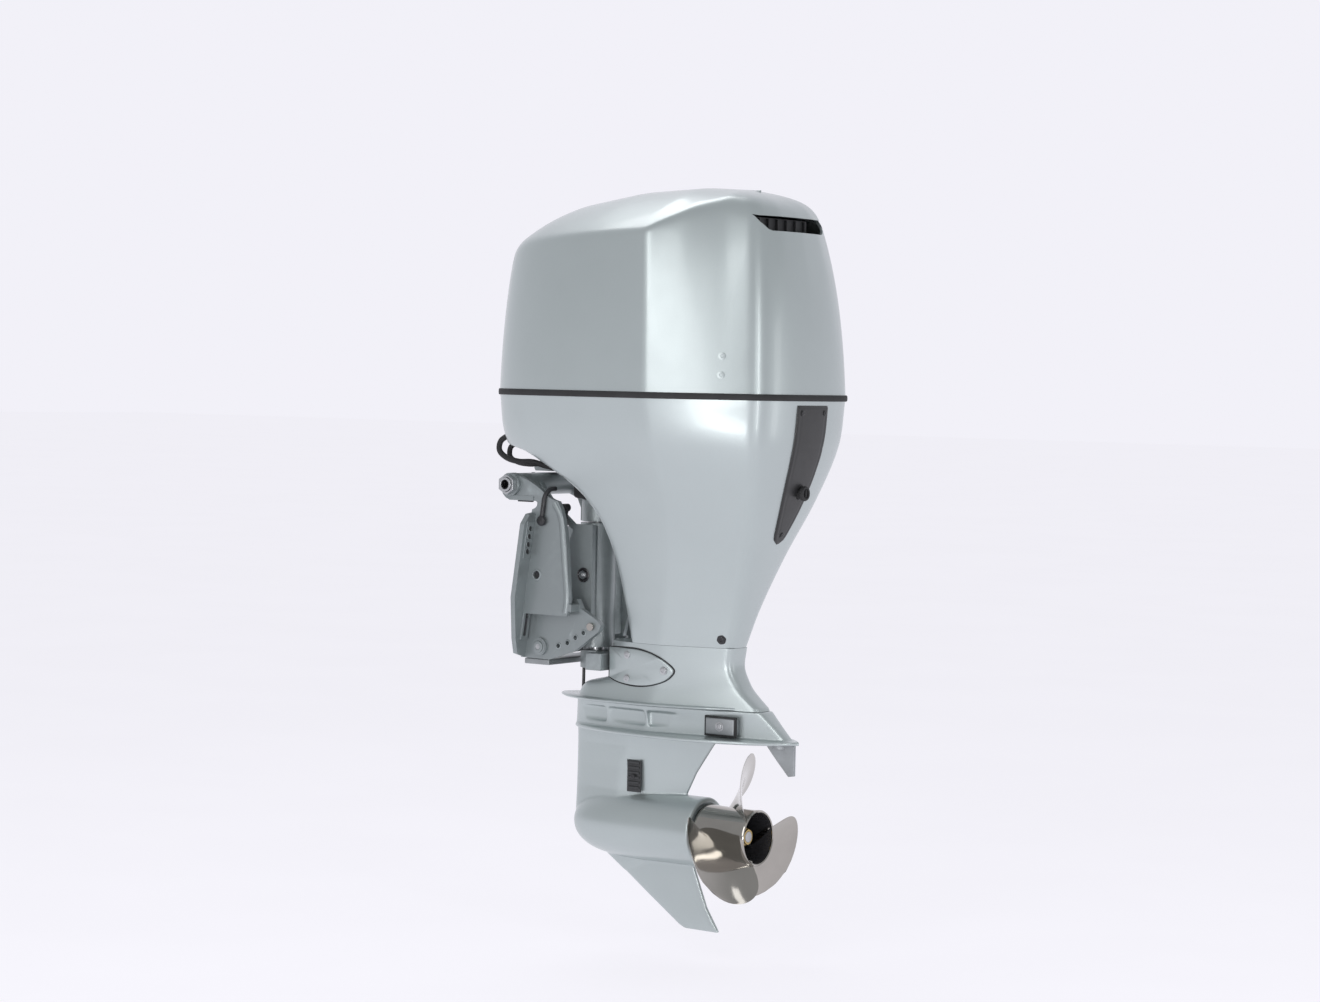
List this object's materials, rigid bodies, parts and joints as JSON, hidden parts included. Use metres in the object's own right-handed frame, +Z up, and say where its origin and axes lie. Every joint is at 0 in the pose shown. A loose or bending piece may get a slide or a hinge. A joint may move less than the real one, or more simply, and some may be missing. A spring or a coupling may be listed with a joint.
{
  "type": "outboard motor",
  "caption": "Long-shaft four-stroke outboard motor on a transom clamp bracket, with tilt, steering, a lift-off cowl, geared drive and a three-blade propeller.",
  "frame": {"origin": "on the centreline, at the aft top corner of the boat's transom, where the bracket's hooks and flanges meet it", "axes": "+X towards the bow, +Y to port, +Z up, with the leg upright"},
  "size_m": [0.7895, 0.553, 1.6375],
  "materials": {
    "silver": "metallic silver marine paint under clear coat",
    "cast_silver": "silver paint on rough castings",
    "black_rubber": "matt moulded rubber",
    "black_plastic": "fine-grained dark plastic",
    "black_paint": "satin black paint",
    "stainless": "polished stainless steel",
    "steel": "machined steel",
    "zinc": "cast sacrificial metal",
    "brass": "dull brass",
    "cast_iron": "grey engine paint",
    "white_paint": "white enamel"
  },
  "bodies": {
    "stern_bracket": {"clamp_bracket_port": "silver", "clamp_bracket_starboard": "silver", "tilt_tube": "steel", "tilt_tube_nut_port": "steel", "tilt_tube_nut_starboard": "steel", "hook_pad_port": "black_rubber", "hook_pad_starboard": "black_rubber", "lower_cross_tube": "steel", "bracket_anode": "zinc", "tilt_stop_pin": "stainless"},
    "tilt_ram": {"tilt_cylinder": "black_paint", "tilt_pump_motor": "black_paint"},
    "tilt_ram_rod": {"tilt_rod": "stainless"},
    "swivel_bracket": {"swivel_case": "cast_silver", "swivel_bushing_upper": "black_plastic", "swivel_bushing_lower": "black_plastic", "grease_fitting": "brass"},
    "lock_lever": {"tilt_lock_lever": "black_plastic"},
    "engine": {"steering_arm": "cast_silver", "pilot_shaft": "steel", "lower_yoke": "cast_silver", "mount_cover_port": "silver", "mount_cover_starboard": "silver", "extension_case": "silver", "gearcase": "silver", "anode_port": "zinc", "anode_starboard": "zinc", "water_intake_port": "black_plastic", "water_intake_starboard": "black_plastic", "lower_cover": "silver", "rear_panel": "black_plastic", "seal_band": "black_rubber", "mount_case": "cast_silver", "engine_block": "cast_iron", "cylinder_head_cover": "cast_iron", "intake_manifold": "black_plastic", "oil_filter": "white_paint", "bearing_carrier": "cast_silver", "water_pump_housing": "black_plastic", "fuel_hose": "black_rubber", "battery_cable": "black_rubber"},
    "cowl": {"top_cowl": "silver", "air_intake_grille": "black_plastic"},
    "crank_train": {"crankshaft": "steel", "flywheel": "cast_iron", "drive_shaft": "steel", "pinion_gear": "steel", "water_pump_impeller": "black_rubber"},
    "prop_train": {"prop_shaft": "steel", "propeller": "stainless", "prop_nut": "brass", "forward_gear": "steel"},
    "reverse_train": {"reverse_gear": "steel"},
    "shift_dog": {"clutch_dog": "steel"},
    "shift_rod": {"lower_shift_rod": "steel"},
    "tab": {"trim_tab": "zinc"},
    "plug": {"flush_plug": "black_rubber"},
    "latch_lever": {"cowl_latch_lever": "steel"},
    "tilt_switch": {"power_tilt_switch": "black_plastic"}
  },
  "joints": [
    {"name": "tilt", "type": "hinge", "parent": "stern_bracket", "child": "swivel_bracket", "pos_m": [0.061, 0, 0.038], "axis": [0, 1, 0], "range_deg": [0, 72]},
    {"name": "ram_pivot", "type": "hinge", "parent": "stern_bracket", "child": "tilt_ram", "pos_m": [-0.005, 0, -0.325], "axis": [0, 1, 0], "range_deg": [-9.5, 0.5]},
    {"name": "ram_stroke", "type": "slide", "parent": "tilt_ram", "child": "tilt_ram_rod", "axis": [-0.004, 0, 1], "range_m": [-0.001, 0.1485]},
    {"name": "tilt_lock", "type": "hinge", "parent": "swivel_bracket", "child": "lock_lever", "pos_m": [-0.044, 0.087, -0.012], "axis": [0, 1, 0], "range_deg": [0, 40]},
    {"name": "steering", "type": "hinge", "parent": "swivel_bracket", "child": "engine", "pos_m": [-0.074, 0, -0.2], "axis": [0, 0, 1], "range_deg": [-20, 20]},
    {"name": "cowl_lift", "type": "slide", "parent": "engine", "child": "cowl", "axis": [0, 0, 1], "range_m": [0, 0.46]},
    {"name": "crank_spin", "type": "hinge", "parent": "engine", "child": "crank_train", "pos_m": [-0.262, 0, 0], "axis": [0, 0, 1], "continuous": true},
    {"name": "prop_spin", "type": "hinge", "parent": "engine", "child": "prop_train", "pos_m": [-0.3, 0, -0.719], "axis": [1, 0, 0], "continuous": true},
    {"name": "reverse_gear_spin", "type": "hinge", "parent": "engine", "child": "reverse_train", "pos_m": [-0.3, 0, -0.719], "axis": [1, 0, 0], "continuous": true},
    {"name": "shift_dog_slide", "type": "slide", "parent": "engine", "child": "shift_dog", "axis": [1, 0, 0], "range_m": [-0.006, 0.006]},
    {"name": "shift_rod_turn", "type": "hinge", "parent": "engine", "child": "shift_rod", "pos_m": [-0.15, 0, -0.5], "axis": [0, 0, 1], "range_deg": [-25, 25]},
    {"name": "trim_tab_turn", "type": "hinge", "parent": "engine", "child": "tab", "pos_m": [-0.574, 0, -0.51], "axis": [0, 0, 1], "range_deg": [-20, 20]},
    {"name": "flush_plug_pull", "type": "slide", "parent": "engine", "child": "plug", "axis": [-1, 0, 0], "range_m": [0, 0.05]},
    {"name": "cowl_latch_turn", "type": "hinge", "parent": "engine", "child": "latch_lever", "pos_m": [0.128, -0.06, 0.205], "axis": [1, 0, 0], "range_deg": [0, 90]},
    {"name": "tilt_switch_rock", "type": "hinge", "parent": "engine", "child": "tilt_switch", "pos_m": [-0.2, -0.235, 0.19], "axis": [1, 0, 0], "range_deg": [-7, 7], "stiffness_Nm_per_rad": 0.3}
  ],
  "couplings": [
    {"joint": "ram_pivot", "follows": "tilt", "ratio": -0.12205},
    {"joint": "ram_stroke", "follows": "tilt", "m_per_rad": 0.11674},
    {"joint": "prop_spin", "follows": "crank_spin", "ratio": -0.46667},
    {"joint": "reverse_gear_spin", "follows": "crank_spin", "ratio": 0.46667},
    {"joint": "shift_rod_turn", "follows": "shift_dog_slide", "rad_per_m": 72.722}
  ]
}
